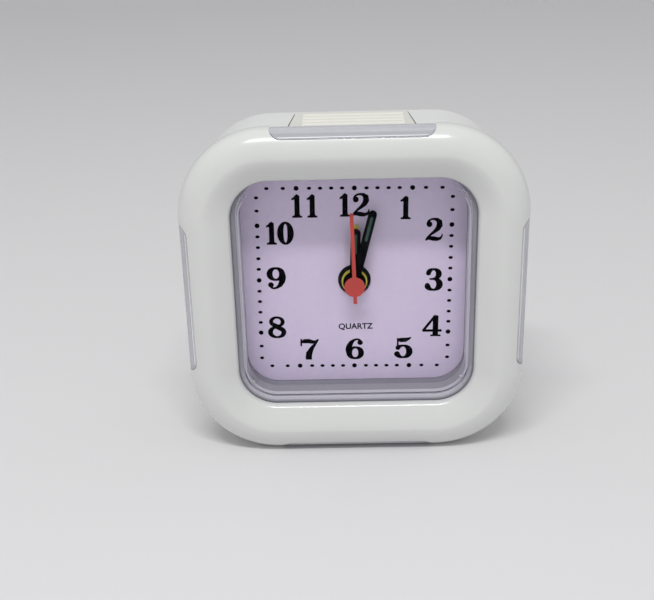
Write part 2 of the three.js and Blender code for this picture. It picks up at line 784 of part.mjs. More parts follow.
// ---------------------------------------------------------------- rear case
const caseEdge = domeArc(
  CASE_BACK_HALF - CASE_EDGE_RADIUS, CASE_BACK_Y - CASE_EDGE_RADIUS,
  CASE_EDGE_RADIUS, CASE_EDGE_RADIUS, 0, -90, 5,
);
const caseOuter = squareSkin([[CASE_FRONT_HALF, CASE_FRONT_Y], ...caseEdge], false, 22);
const caseInner = squareSkin([
  [CASE_FRONT_HALF - CASE_WALL, CASE_FRONT_Y - 1],
  [CASE_BACK_HALF - CASE_WALL, CASE_BACK_Y - CASE_WALL - 1.2],
  [CASE_BACK_HALF - CASE_WALL - 1.2, CASE_BACK_Y - CASE_WALL],
], false, 12);
const BAY_HALF = 26.2;
const BAY_TOP = -20.9;
const BAY_BOTTOM = -36.2;
const bayEnds = [-1, 1].map((side) => {
  const x = side * (BAY_HALF + 1.5);
  return box(x - 0.7, x + 0.7, 12.5, 27.6, -36.0, -21.0);
});
const screwTubes = postPlaces.map((at) => bar(3.2, 20.8, 27.6, at, 14));
const screwHoles = postPlaces.flatMap((at) => [bar(2.6, 23.6, 30, at, 16), bar(1.4, 20, 24, at, 12)]);
const feet = [-1, 1].map((side) => {
  const profile = roundedRectangle(side * 23 - 7, side * 23 + 7, 17.5, 26.0, 2.0);
  const geometry = new THREE.ExtrudeGeometry(profile, {
    depth: BEZEL_HALF - FOOT_TOP,
    bevelEnabled: false,
    curveSegments: 4,
  });
  return geometry.translate(0, 0, -BEZEL_HALF);
});
const soundHoles = [buzzerAt, ...[0, 60, 120, 180, 240, 300].map((a) => polar(3.6, a, buzzerAt))]
  .map((at) => bar(0.9, 26, 30, at, 10));
const switchSlot = box(
  SWITCH_AT[0] - 1.5, SWITCH_AT[0] + 1.5, 26, 30,
  SWITCH_AT[1] - SWITCH_TRAVEL - 1.8, SWITCH_AT[1] + 1.8,
);
add(
  'rear_case',
  cut(
    join(cut(caseOuter, caseInner), ...bayEnds, ...screwTubes, ...feet),
    ...screwHoles,
    box(-BAY_HALF, BAY_HALF, 26, 30, BAY_BOTTOM, BAY_TOP),
    box(-BAY_HALF - 1.1, BAY_HALF + 1.1, 28.0, 30, BAY_BOTTOM - 0.7, BAY_TOP + 0.7),
    buttonPlan(GAP, 36.9, 43),
    buttonPlan(1.5, 34, 38.3),
    switchSlot,
    ...[timeShaftAt, KNOB_AT].map((at) => bar(1.6, 26, 30, at, 20)),
    ...soundHoles,
  ),
  0xf1f2ef,
  { roughness: 0.35 },
);

// ---------------------------------------------------------------- battery door
const doorPlate = roundedRectangle(
  -BAY_HALF - 0.8, BAY_HALF + 0.8, BAY_BOTTOM - 0.4, BAY_TOP + 0.4, 0.8,
);
add(
  'battery_door',
  join(
    plate(doorPlate, 28.2, CASE_BACK_Y, 3),
    box(-5, 5, 27.2, 28.4, BAY_TOP - 1.5, BAY_TOP - 0.3),
    ...[-20, 20].map((x) => box(x - 2, x + 2, 27.2, 28.4, BAY_BOTTOM + 0.3, BAY_BOTTOM + 1.5)),
    ...[0, 1.5, 3].map((dz) => box(-4, 4, 28.8, 29.5, -25.2 + dz, -24.6 + dz)),
  ),
  0xf1f2ef,
  { roughness: 0.35 },
);

// ---------------------------------------------------------------- knobs
function knob(at) {
  const grips = 20;
  const shape = new THREE.Shape();
  for (let i = 0; i <= grips * 2; i += 1) {
    const angle = (i / (grips * 2)) * Math.PI * 2;
    const radius = i % 2 === 0 ? KNOB_RADIUS : KNOB_RADIUS - 0.35;
    const point = polar(radius, (angle * 180) / Math.PI, at);
    if (i === 0) shape.moveTo(...point);
    else if (i < grips * 2) shape.lineTo(...point);
  }
  return join(
    cut(plate(shape, 29.4, 31.8), bar(3.6, 31.2, 33, at, 24)),
    box(at[0] - 0.6, at[0] + 0.6, 31.0, 31.8, at[1] - 3.7, at[1] + 3.7),
  );
}
for (const [name, at] of [['time_knob', timeShaftAt], ['alarm_knob', KNOB_AT]]) {
  add(name, cut(knob(at), bar(1.3, 28, 30.7, at, 16)), 0xeceae4, { roughness: 0.4 });
}

// ---------------------------------------------------------------- case screws
postPlaces.forEach((at, index) => {
  add(`case_screw_${index + 1}`, screw(at, 23.8, 2.2, 1.05, 8), 0xb9bcc0, STEEL);
});

// ---------------------------------------------------------------- onto the floor
const bounds = new THREE.Box3().setFromObject(group);
const middleY = (bounds.min.y + bounds.max.y) / 2;
for (const mesh of group.children) {
  mesh.geometry.translate(0, -middleY, BEZEL_HALF);
}

export default group;
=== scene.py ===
"""Looks of a small square alarm clock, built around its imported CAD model.

Shapes made here are drawn in "face millimetres": x to the right and z up from the hands' axis,
y = 0 at the edge of the ring's opening, with y growing towards the back.
"""
import math

import bmesh
import bpy
import numpy as np
from mathutils import Matrix, Vector
from mathutils.geometry import tessellate_polygon


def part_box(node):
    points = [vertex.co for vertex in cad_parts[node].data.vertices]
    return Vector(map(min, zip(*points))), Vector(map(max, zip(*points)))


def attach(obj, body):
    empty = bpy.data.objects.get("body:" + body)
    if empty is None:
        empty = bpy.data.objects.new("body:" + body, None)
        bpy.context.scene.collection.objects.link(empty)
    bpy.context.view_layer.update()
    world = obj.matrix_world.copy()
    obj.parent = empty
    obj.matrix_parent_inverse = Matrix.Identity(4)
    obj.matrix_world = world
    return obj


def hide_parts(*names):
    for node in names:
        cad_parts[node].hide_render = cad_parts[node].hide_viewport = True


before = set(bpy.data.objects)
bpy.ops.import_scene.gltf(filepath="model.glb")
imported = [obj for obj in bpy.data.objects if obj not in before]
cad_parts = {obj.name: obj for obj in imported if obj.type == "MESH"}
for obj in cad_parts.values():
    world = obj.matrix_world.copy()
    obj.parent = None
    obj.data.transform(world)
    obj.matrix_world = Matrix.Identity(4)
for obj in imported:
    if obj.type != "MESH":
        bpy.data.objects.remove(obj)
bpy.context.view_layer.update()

# ---------------------------------------------------------------- dimensions, millimetres
DIAL_Y = 10.0               # front of the dial behind the opening's edge
CORNER_CENTRE = 20.2        # centre of every rounded square's corner arcs
BEZEL_HALF = 42.4           # "half" is half the width of a rounded square
OPENING_HALF = 29.8
CROWN_HALF = 35.0           # where the domed ring is highest
CROWN_Y = -4.6
DOME_Y = 1.0                # depth of the dome's centre
LIP_RADIUS = 1.5            # rounding at the edge of the opening
LIP_Y = -0.7
RIM_Y = 2.0                 # back of the ring
NOTCH_HALF_LENGTH = 19.4
NOTCH_CORNER = 2.5          # radius of the notch's two front corners
NOTCH_Y = -3.05
NOTCH_FLOOR = 39.0
NOTCH_EXTRA = 1.0           # how far a notch-shaped block reaches behind the ring
NOTCH_HEADROOM = 2.0        # and above it
GAP = 0.3
CRYSTAL_OUTER = 29.5
CRYSTAL_INNER = 28.1
FLANGE_HALF = 30.6          # flange round the front of the clear window
FLANGE_BACK_Y = 1.1
LEDGE_Y = 6.8
FINE_STEPS = (32, 10)       # steps in a corner arc and along a straight side
COARSE_STEPS = (24, 8)
PRINT_THICKNESS = 0.03
PRINT_TURN = -0.8           # the print sits slightly askew on the card, degrees

dial_low, dial_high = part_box("dial")
AXIS_X = (dial_low.x + dial_high.x) / 2
AXIS_Z = (dial_low.z + dial_high.z) / 2
EDGE_Y = dial_low.y - DIAL_Y / 1000


def to_frame(x, y, z):
    """A point in face millimetres, as metres in the row frame."""
    return (AXIS_X + x / 1000, EDGE_Y + y / 1000, AXIS_Z + z / 1000)


# ---------------------------------------------------------------- mesh helpers
def add_object(name, data):
    """A new object in the scene."""
    added = bpy.data.objects.new(name, data)
    bpy.context.scene.collection.objects.link(added)
    return added


def new_mesh(name, vertices, faces):
    """A mesh from points in face millimetres, with all its faces turned outwards."""
    mesh = bpy.data.meshes.new(name)
    mesh.from_pydata([to_frame(*v) for v in vertices], [], faces)
    mesh.validate()
    work = bmesh.new()
    work.from_mesh(mesh)
    bmesh.ops.recalc_face_normals(work, faces=work.faces)
    work.to_mesh(mesh)
    work.free()
    return mesh


def make_piece(name, vertices, faces, material, body, slot, sharp=35.0):
    """A mesh piece that rides on a CAD body; its vertices are in face millimetres."""
    mesh = new_mesh(name, vertices, faces)
    piece = add_object(name, mesh)
    mesh.materials.append(material)
    smooth_by_angle(mesh, sharp)
    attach(piece, body)
    return piece


def smooth_by_angle(mesh, degrees):
    """Smooth shading, with a crease wherever two faces meet at a larger angle."""
    mesh.shade_smooth()
    mesh.set_sharp_from_angle(angle=math.radians(degrees))


def square_loop(half, y, steps):
    """A rounded square in the plane y, whose corner arcs share CORNER_CENTRE."""
    arc_steps, straight_steps = steps
    loop = []
    radius = half - CORNER_CENTRE
    for corner in range(4):
        cx = CORNER_CENTRE * (1, -1, -1, 1)[corner]
        cz = CORNER_CENTRE * (1, 1, -1, -1)[corner]
        for i in range(arc_steps + 1):
            angle = math.radians(90 * corner + 90 * i / arc_steps)
            loop.append((cx + radius * math.cos(angle), y, cz + radius * math.sin(angle)))
        here = loop[-1]
        turn = math.radians(90 * (corner + 1))
        along = (-math.sin(turn), math.cos(turn))
        for i in range(1, straight_steps):
            run = 2 * CORNER_CENTRE * i / straight_steps
            loop.append((here[0] + along[0] * run, y, here[2] + along[1] * run))
    return loop


def faces_per_row(steps):
    """How many faces square_skin makes between one level and the next."""
    return 4 * sum(steps)


def square_skin(levels, closed, steps=FINE_STEPS):
    """Vertices and faces over a row of rounded squares, each given as (half width, y).

    A closed skin joins its last level to its first; an open one gets a flat cap at each end.
    """
    loops = [square_loop(half, y, steps) for half, y in levels]
    count = faces_per_row(steps)
    vertices = [point for loop in loops for point in loop]
    faces = []
    for row in range(len(levels) if closed else len(levels) - 1):
        here = row * count
        there = ((row + 1) % len(levels)) * count
        for i in range(count):
            j = (i + 1) % count
            faces.append((here + i, there + i, there + j, here + j))
    if not closed:
        faces.append(tuple(range(count)))
        last = (len(levels) - 1) * count
        faces.append(tuple(range(last, last + count)))
    return vertices, faces


def dome_arc(half, y, half_radius, y_radius, start, end, steps):
    """Points (half width, y) on an ellipse; 0 degrees is outwards and 90 the front."""
    points = []
    for i in range(steps + 1):
        angle = math.radians(start + (end - start) * i / steps)
        points.append((half + half_radius * math.cos(angle), y - y_radius * math.sin(angle)))
    return points


def extruded(loops, y0, y1):
    """A closed slab between y0 and y1, from closed loops of (x, z); inner loops are holes."""
    points = [point for loop in loops for point in loop]
    count = len(points)
    vertices = [(x, y0, z) for x, z in points] + [(x, y1, z) for x, z in points]
    triangles = tessellate_polygon([[Vector((x, z, 0)) for x, z in loop] for loop in loops])
    faces = [tuple(t) for t in triangles]
    faces += [tuple(i + count for i in reversed(t)) for t in triangles]
    first = 0
    for loop in loops:
        for i in range(len(loop)):
            a = first + i
            b = first + (i + 1) % len(loop)
            faces.append((a, b, b + count, a + count))
        first += len(loop)
    return vertices, faces


def merged(parts):
    """Several (vertices, faces) pairs as one."""
    vertices, faces = [], []
    for part_vertices, part_faces in parts:
        first = len(vertices)
        vertices += part_vertices
        faces += [tuple(i + first for i in face) for face in part_faces]
    return vertices, faces


def circle(cx, cz, radius, steps=24):
    """A closed loop of points (x, z)."""
    angles = [2 * math.pi * i / steps for i in range(steps)]
    return [(cx + radius * math.cos(a), cz + radius * math.sin(a)) for a in angles]


def arc(cx, cz, radius, start, end, steps=8):
    """Points on part of a circle, from one angle in degrees to another."""
    angles = [math.radians(start + (end - start) * i / steps) for i in range(steps + 1)]
    return [(cx + radius * math.cos(a), cz + radius * math.sin(a)) for a in angles]


def turned(points, degrees):
    """Points (x, z) turned clockwise, as seen from the face, about the hands' axis."""
    c = math.cos(math.radians(degrees))
    s = math.sin(math.radians(degrees))
    return [(x * c + z * s, z * c - x * s) for x, z in points]


def notch_block(clearance, floor):
    """Tab-shaped block for the notch in the top side, as (vertices, faces)."""
    half = NOTCH_HALF_LENGTH - clearance
    front = NOTCH_Y + clearance
    back = RIM_Y + NOTCH_EXTRA
    top = BEZEL_HALF + NOTCH_HEADROOM
    radius = NOTCH_CORNER - clearance
    plan = [
        (half, back),
        *arc(half - radius, front + radius, radius, 0, -90),
        *arc(radius - half, front + radius, radius, -90, -180),
        (-half, back),
    ]
    count = len(plan)
    vertices = [(x, y, floor) for x, y in plan] + [(x, y, top) for x, y in plan]
    faces = [tuple(range(count)), tuple(range(count, 2 * count))]
    faces += [(i, (i + 1) % count, (i + 1) % count + count, i + count) for i in range(count)]
    return vertices, faces


def turned_solid(part, quarter):
    """A (vertices, faces) pair turned by quarters about the hands' axis."""
    vertices, faces = part
    for _ in range(quarter):
        vertices = [(z, y, -x) for x, y, z in vertices]
    return vertices, faces


def boolean(piece, tool_part, operation):
    """Cuts or keeps part of a piece's mesh; the tool is in face millimetres."""
    tool = add_object("tool", new_mesh("tool", *tool_part))
    modifier = piece.modifiers.new("cut", "BOOLEAN")
    modifier.operation = operation
    modifier.object = tool
    modifier.solver = "EXACT"
    bake_modifiers(piece)
    bpy.data.objects.remove(tool)


def bake_modifiers(piece):
    """Replaces the piece's mesh with the result of its modifiers."""
    bpy.context.view_layer.update()
    graph = bpy.context.evaluated_depsgraph_get()
    result = bpy.data.meshes.new_from_object(piece.evaluated_get(graph))
    piece.modifiers.clear()
    piece.data = result


def soften(piece, width):
    """Rounds the piece's sharp edges; width in millimetres."""
    modifier = piece.modifiers.new("soft_edges", "BEVEL")
    modifier.width = width / 1000
    modifier.segments = 2
    modifier.limit_method = "ANGLE"
    modifier.angle_limit = math.radians(40.0)
    modifier.miter_outer = "MITER_ARC"


# ---------------------------------------------------------------- materials
def new_material(name, color, roughness, metallic=0.0, **inputs):
    """A plain shader; other sockets are named in inputs, with _ for each space."""
    material = bpy.data.materials.new(name)
    material.use_nodes = True
    shader = material.node_tree.nodes["Principled BSDF"]
    shader.inputs["Base Color"].default_value = (*color, 1)
    shader.inputs["Roughness"].default_value = roughness
    shader.inputs["Metallic"].default_value = metallic
    for key, value in inputs.items():
        shader.inputs[key.replace("_", " ")].default_value = value
    return material


def node(material, kind, **settings):
    """A node of the material's tree; each setting is an input socket or a property."""
    made = material.node_tree.nodes.new(kind)
    for key, value in settings.items():
        if key in made.inputs:
            made.inputs[key].default_value = value
        else:
            setattr(made, key, value)
    return made


def wire(material, source, socket, target, target_socket):
    """Links an output socket to an input socket."""
    material.node_tree.links.new(source.outputs[socket], target.inputs[target_socket])


def noise_at(material, scale, detail=3.0, stretch=(1, 1, 1)):
    """Noise in object space; scale is in features per metre."""
    place = node(material, "ShaderNodeTexCoord")
    mapping = node(material, "ShaderNodeMapping")
    mapping.inputs["Scale"].default_value = stretch
    texture = node(material, "ShaderNodeTexNoise", Scale=scale, Detail=detail)
    wire(material, place, "Object", mapping, "Vector")
    wire(material, mapping, "Vector", texture, "Vector")
    return texture


def tint(material, texture, dark, light, low=0.3, high=0.7):
    """Colours the surface between two colours by a texture's value."""
    ramp = node(material, "ShaderNodeValToRGB")
    ramp.color_ramp.elements[0].position = low
    ramp.color_ramp.elements[1].position = high
    ramp.color_ramp.elements[0].color = (*dark, 1)
    ramp.color_ramp.elements[1].color = (*light, 1)
    wire(material, texture, 0, ramp, "Fac")
    wire(material, ramp, "Color", shader_of(material), "Base Color")


def rise_along(material, axis, start, end):
    """A value that goes from 0 to 1 between two places, in metres, along one axis."""
    split = node(material, "ShaderNodeSeparateXYZ")
    wire(material, node(material, "ShaderNodeTexCoord"), "Object", split, "Vector")
    rise = node(material, "ShaderNodeMapRange")
    rise.inputs["From Min"].default_value = start
    rise.inputs["From Max"].default_value = end
    wire(material, split, axis, rise, "Value")
    return rise


def rise_up(material, start_z, end_z):
    """A value that goes from 0 to 1 between two heights on the face, in millimetres."""
    return rise_along(material, "Z", to_frame(0, 0, start_z)[2], to_frame(0, 0, end_z)[2])


def shader_of(material):
    """The material's only shader node."""
    return material.node_tree.nodes["Principled BSDF"]


def uneven_gloss(material, texture, low, high):
    """Varies the roughness between two values by a texture's value."""
    spread = node(material, "ShaderNodeMapRange")
    spread.inputs["To Min"].default_value = low
    spread.inputs["To Max"].default_value = high
    wire(material, texture, 0, spread, "Value")
    wire(material, spread, "Result", shader_of(material), "Roughness")


def relief(material, texture, strength, distance):
    """Bump from a texture's value; distance in metres."""
    bump = node(material, "ShaderNodeBump", Strength=strength, Distance=distance)
    wire(material, texture, 0, bump, "Height")
    wire(material, bump, "Normal", shader_of(material), "Normal")


def moulded(name, color, roughness, grain, variation, bump, **inputs):
    """Injection-moulded plastic: faint cloudiness, uneven gloss and a very fine skin texture."""
    material = new_material(name, color, roughness, **inputs)
    clouds = noise_at(material, 60.0)
    darker = [c * (1 - variation) for c in color]
    tint(material, clouds, darker, color)
    smudges = noise_at(material, 180.0, 4.0)
    uneven_gloss(material, smudges, roughness * 0.8, roughness * 1.25)
    relief(material, noise_at(material, grain, 2.0), bump, 0.00005)
    return material


def metal(name, color, roughness, stretch=(1, 1, 1)):
    """Bare metal with fine marks, which run in lines if the stretch is uneven."""
    material = new_material(name, color, roughness, 1.0)
    lines = noise_at(material, 3000.0, 4.0, stretch)
    tint(material, lines, [c * 0.8 for c in color], color)
    uneven_gloss(material, lines, roughness * 0.7, roughness * 1.4)
    relief(material, lines, 0.1, 0.00003)
    return material


bezel_white = moulded(
    "ring_white", (0.66, 0.67, 0.65), 0.2, grain=2500.0, variation=0.015, bump=0.03,
    Coat_Weight=0.5, Coat_Roughness=0.06,
)
case_white = moulded(
    "case_white", (0.73, 0.74, 0.72), 0.32, grain=4000.0, variation=0.03, bump=0.08,
)
button_cream = moulded(
    "button_cream", (0.70, 0.695, 0.64), 0.3, grain=4000.0, variation=0.03, bump=0.06,
)
knob_white = moulded(
    "knob_white", (0.74, 0.73, 0.68), 0.38, grain=4000.0, variation=0.04, bump=0.1,
)
hand_black = moulded(
    "hand_black", (0.003, 0.003, 0.004), 0.5, grain=9000.0, variation=0.3, bump=0.05,
    Specular_IOR_Level=0.05,
)
hand_red = moulded("hand_red", (0.55, 0.055, 0.045), 0.42, grain=9000.0, variation=0.1, bump=0.05)
hand_yellow = moulded(
    "hand_yellow", (0.62, 0.55, 0.07), 0.42, grain=9000.0, variation=0.1, bump=0.05,
)
nylon = moulded("nylon", (0.70, 0.66, 0.53), 0.5, grain=5000.0, variation=0.08, bump=0.1)
black_housing = moulded(
    "black_housing", (0.006, 0.006, 0.007), 0.5, grain=5000.0, variation=0.3, bump=0.2,
    Specular_IOR_Level=0.1,
)
switch_black = moulded(
    "switch_black", (0.025, 0.025, 0.028), 0.4, grain=6000.0, variation=0.3, bump=0.15,
)
ink = moulded(
    "dial_ink", (0.002, 0.002, 0.003), 0.7, grain=20000.0, variation=0.3, bump=0.05,
    Specular_IOR_Level=0.04,
)
lume = moulded("lume_teal", (0.03, 0.075, 0.06), 0.6, grain=15000.0, variation=0.25, bump=0.2)
board_green = moulded(
    "board_green", (0.03, 0.12, 0.05), 0.4, grain=8000.0, variation=0.3, bump=0.1,
)
magnet_grey = metal("magnet_grey", (0.12, 0.12, 0.125), 0.5)
brass = metal("brass", (0.72, 0.52, 0.2), 0.3)
steel = metal("steel", (0.62, 0.63, 0.65), 0.28, (1, 12, 1))

ACRYLIC_IOR = 1.49
ACRYLIC_ROUGHNESS = 0.12
STREAKS = 0.12              # how much lighter and darker the lines in the plastic are
VEIL_ALPHA = 0.6
CLEAR_ALPHA = 0.03
# The window's bands turn from their darker low colour to painted side light between GRADE_LOW_Z
# and GRADE_SIDE_Z.
GRADE_LOW_Z = -26.0         # heights on the face, in millimetres
GRADE_SIDE_Z = -18.0
FADE_START_Z = 24.5
FADE_END_Z = 28.3


def clear_plastic(name, color, alpha, roughness=ACRYLIC_ROUGHNESS):
    """Clear acrylic seen on edge: fine lines run along it, because the noise is stretched."""
    material = new_material(name, color, roughness, IOR=ACRYLIC_IOR, Alpha=alpha)
    lines = noise_at(material, 250.0, 2.0, (0.12, 6.0, 0.12))
    darker = [c * (1 - STREAKS) for c in color]
    lighter = [c * (1 + STREAKS) for c in color]
    tint(material, lines, darker, lighter)
    return material


def graded_plastic(name, low_color, painted_side_light_color, alpha):
    """Clear acrylic that is darker along the bottom of the window than up its sides. The lighter
    colour up the sides is painted light, standing in for light that comes through the clear
    walls.
    """
    material = new_material(name, low_color, ACRYLIC_ROUGHNESS, IOR=ACRYLIC_IOR, Alpha=alpha)
    tint(material, rise_up(material, GRADE_LOW_Z, GRADE_SIDE_Z), low_color, painted_side_light_color, 0.0, 1.0)
    return material


def fade_at_top(material, alpha):
    """Lets the plastic turn clear towards the top of the window."""
    fade = rise_up(material, FADE_START_Z, FADE_END_Z)
    fade.interpolation_type = "SMOOTHSTEP"
    fade.inputs["To Min"].default_value = alpha
    fade.inputs["To Max"].default_value = CLEAR_ALPHA
    wire(material, fade, "Result", shader_of(material), "Alpha")


clear = clear_plastic("clear_window", (0.02, 0.02, 0.03), 0.02, 0.03)
shader_of(clear).inputs["Specular IOR Level"].default_value = 0.12
window_veil = clear_plastic("window_veil", (0.40, 0.39, 0.44), VEIL_ALPHA)
fade_at_top(window_veil, VEIL_ALPHA)
window_edge = clear_plastic("window_edge", (0.8, 0.79, 0.85), 0.88)
# Painted light: the ledge, wall and line bands are coloured lighter up the window's sides than
# along its bottom.
window_ledge = graded_plastic("window_ledge", (0.57, 0.56, 0.61), (0.85, 0.84, 0.9), 0.9)
window_wall = graded_plastic("window_wall", (0.31, 0.305, 0.34), (0.55, 0.545, 0.59), 0.9)
window_line = graded_plastic("window_line", (0.36, 0.35, 0.41), (0.55, 0.54, 0.6), 0.6)
# Painted shade: dark bands along the ring's lip at the front of the window and along the dial's
# edge at its back stand in for the shadow lines there.
window_shade_line = clear_plastic("window_shade_line", (0.24, 0.235, 0.27), 0.92)
window_tab = clear_plastic("window_tab", (0.55, 0.55, 0.595), 0.62, 0.1)
# Painted highlight: the ridge on each tab is coloured lighter and more opaque than the tab
# itself.
tab_ridge_highlight = clear_plastic("tab_ridge_highlight", (0.85, 0.85, 0.88), 0.95, 0.1)

dial_card = new_material("dial_card", (0.5, 0.42, 0.62), 0.6)
card_fibres = noise_at(dial_card, 900.0, 5.0)
tint(dial_card, card_fibres, (0.68, 0.59, 0.78), (0.72, 0.63, 0.82), low=0.2, high=0.8)
relief(dial_card, noise_at(dial_card, 7000.0, 3.0), 0.06, 0.00003)

copper = new_material("copper_wire", (0.6, 0.25, 0.1), 0.35, 1.0)
turns = node(copper, "ShaderNodeTexWave", Scale=1100.0, Distortion=0.4)
turns.bands_direction = "X"
wire(copper, node(copper, "ShaderNodeTexCoord"), "Object", turns, "Vector")
tint(copper, turns, (0.25, 0.09, 0.035), (0.72, 0.33, 0.15), low=0.1, high=0.8)
relief(copper, turns, 0.6, 0.0001)

cell_low, cell_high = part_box("battery_cell")
cell_wrap = new_material("cell_wrap", (0.03, 0.08, 0.2), 0.3, 0.2)
along = rise_along(cell_wrap, "X", cell_low.x, cell_high.x)
bands = node(cell_wrap, "ShaderNodeValToRGB")
bands.color_ramp.interpolation = "CONSTANT"
bands.color_ramp.elements[0].color = (0.55, 0.56, 0.58, 1)
bands.color_ramp.elements[1].position = 0.03
bands.color_ramp.elements[1].color = (0.02, 0.05, 0.16, 1)
copper_band = bands.color_ramp.elements.new(0.72)
copper_band.color = (0.55, 0.3, 0.12, 1)
cap_band = bands.color_ramp.elements.new(0.965)
cap_band.color = (0.6, 0.61, 0.63, 1)
wire(cell_wrap, along, "Result", bands, "Fac")
wire(cell_wrap, bands, "Color", shader_of(cell_wrap), "Base Color")
uneven_gloss(cell_wrap, noise_at(cell_wrap, 500.0), 0.22, 0.42)

node_materials = {
    "bezel": bezel_white,
    "crystal": clear,
    "rear_case": case_white,
    "battery_door": case_white,
    "snooze_button": button_cream,
    "time_knob": knob_white,
    "alarm_knob": knob_white,
    "alarm_switch": switch_black,
    "dial": dial_card,
    "second_hand": hand_red,
    "minute_hand": hand_black,
    "hour_hand": hand_black,
    "alarm_hand": hand_yellow,
    "rotor_magnet": magnet_grey,
    "cannon_pinion": brass,
    "buzzer_disc": brass,
    "coil_winding": copper,
    "circuit_board": board_green,
    "chip_cover": black_housing,
    "movement_front": black_housing,
    "movement_rear": black_housing,
    "battery_cell": cell_wrap,
}
steel_words = ("screw", "contact", "stator", "can")
for name, cad_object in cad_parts.items():
    if name in node_materials:
        material = node_materials[name]
    elif any(word in name for word in steel_words):
        material = steel
    else:
        material = nylon
    cad_object.data.materials.clear()
    cad_object.data.materials.append(material)
    smooth_by_angle(cad_object.data, 30.0)

# ---------------------------------------------------------------- ring
def quadratic(start, control, end, steps):
    """Points on the curve that leaves start towards control and reaches end from it."""
    points = []
    for i in range(steps + 1):
        t = i / steps
        weights = ((1 - t) ** 2, 2 * t * (1 - t), t * t)
        points.append(tuple(
            sum(w * value for w, value in zip(weights, values))
            for values in zip(start, control, end)
        ))
    return points


SLOPE_START = (36.03, -4.545)       # on the dome, next to its crown: (half width, y)
SLOPE_CONTROL = (34.5, -4.55)
RING_HOLLOW = [(31.2, 0.0), (33.4, -3.0), (37.4, -1.4), (38.2, RIM_Y)]  # behind the dome
POST_PLACE = 31.0                   # screw posts behind the ring's corners
POST_RADIUS = 2.0
POST_FRONT_Y = -2.0
POST_BACK_Y = 20.4

lip = dome_arc(OPENING_HALF + LIP_RADIUS, LIP_Y, LIP_RADIUS, LIP_RADIUS, 122, 180, 9)
inner_slope = quadratic(SLOPE_START, SLOPE_CONTROL, lip[0], 8)
ring_section = [
    (BEZEL_HALF, RIM_Y),
    *dome_arc(CROWN_HALF, DOME_Y, BEZEL_HALF - CROWN_HALF, DOME_Y - CROWN_Y, 0, 82, 26),
    *inner_slope[1:-1],
    *lip,
    (OPENING_HALF, 0.0),
    *RING_HOLLOW,
]
ring = make_piece(
    "ring", *square_skin(ring_section, True), bezel_white, "case", "white_gloss",
)
for quarter in range(4):
    boolean(ring, turned_solid(notch_block(0.0, NOTCH_FLOOR), quarter), "DIFFERENCE")
smooth_by_angle(ring.data, 35.0)
soften(ring, 0.18)
posts = []
for sx in (-1, 1):
    for sz in (-1, 1):
        post = circle(POST_PLACE * sx, POST_PLACE * sz, POST_RADIUS)
        posts.append(extruded([post], POST_FRONT_Y, POST_BACK_Y))
ring_posts = make_piece("ring_posts", *merged(posts), bezel_white, "case", "white_gloss")
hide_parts("bezel")
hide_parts("bezel")

# ---------------------------------------------------------------- window
WALL_FRONT_Y = GAP + 2.4    # back of the pane, where the inner wall begins
VEIL_FROM = 35.0            # degrees up from sideways, round the window's upper corners
CLEAR_FROM = 50.0
# Each level is followed by the name of the band between it and the next one. The dark bands next
# to the ring's lip and next to the dial's edge are painted shadow lines.
window_levels = [
    ((CRYSTAL_INNER - 0.3, GAP), "line"),
    ((CRYSTAL_INNER, GAP), "clear"),
    ((CRYSTAL_INNER + 0.3, GAP), "veil"),
    ((CRYSTAL_OUTER - 0.1, GAP), "shade_line"),
    ((FLANGE_HALF, GAP + 0.05), "edge"),
    ((FLANGE_HALF, FLANGE_BACK_Y), "edge"),
    ((CRYSTAL_OUTER, FLANGE_BACK_Y), "edge"),
    ((CRYSTAL_OUTER, DIAL_Y - GAP), "ledge"),
    ((CRYSTAL_INNER + 0.35, DIAL_Y - 0.05), "shade_line"),
    ((CRYSTAL_INNER + 0.6, LEDGE_Y + 0.9), "shade_line"),
    ((CRYSTAL_INNER + 0.6, LEDGE_Y + 0.4), "line"),
    ((CRYSTAL_INNER + 0.15, LEDGE_Y), "line"),
    ((CRYSTAL_INNER, LEDGE_Y - 0.25), "wall"),
    ((CRYSTAL_INNER + 0.5, WALL_FRONT_Y + 1.3), "ledge"),
    ((CRYSTAL_INNER + 0.65, WALL_FRONT_Y), "clear"),
]
window_materials = {
    "clear": clear,
    "veil": window_veil,
    "edge": window_edge,
    "wall": window_wall,
    "ledge": window_ledge,
    "line": window_line,
    "shade_line": window_shade_line,
}
window = make_piece(
    "window", *square_skin([level for level, _ in window_levels], False, COARSE_STEPS),
    clear, "case", "clear_window", sharp=25.0,
)
material_order = list(window_materials)
for band in material_order[1:]:
    window.data.materials.append(window_materials[band])
bands = [band for _, band in window_levels[:-1]]
row_length = faces_per_row(COARSE_STEPS)
for face in window.data.polygons[:row_length * len(bands)]:
    band = bands[face.index // row_length]
    # The wall over the dial's top edge is looked straight through, so it stays clear there.
    across = abs(face.center.x - AXIS_X) * 1000 - CORNER_CENTRE
    upward = (face.center.z - AXIS_Z) * 1000 - CORNER_CENTRE
    climb = math.degrees(math.atan2(upward, across)) if upward > 0 else 0.0
    if band in ("wall", "ledge", "line") and climb > VEIL_FROM:
        band = "clear" if climb > CLEAR_FROM else "veil"
    face.material_index = material_order.index(band)
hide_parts("crystal")

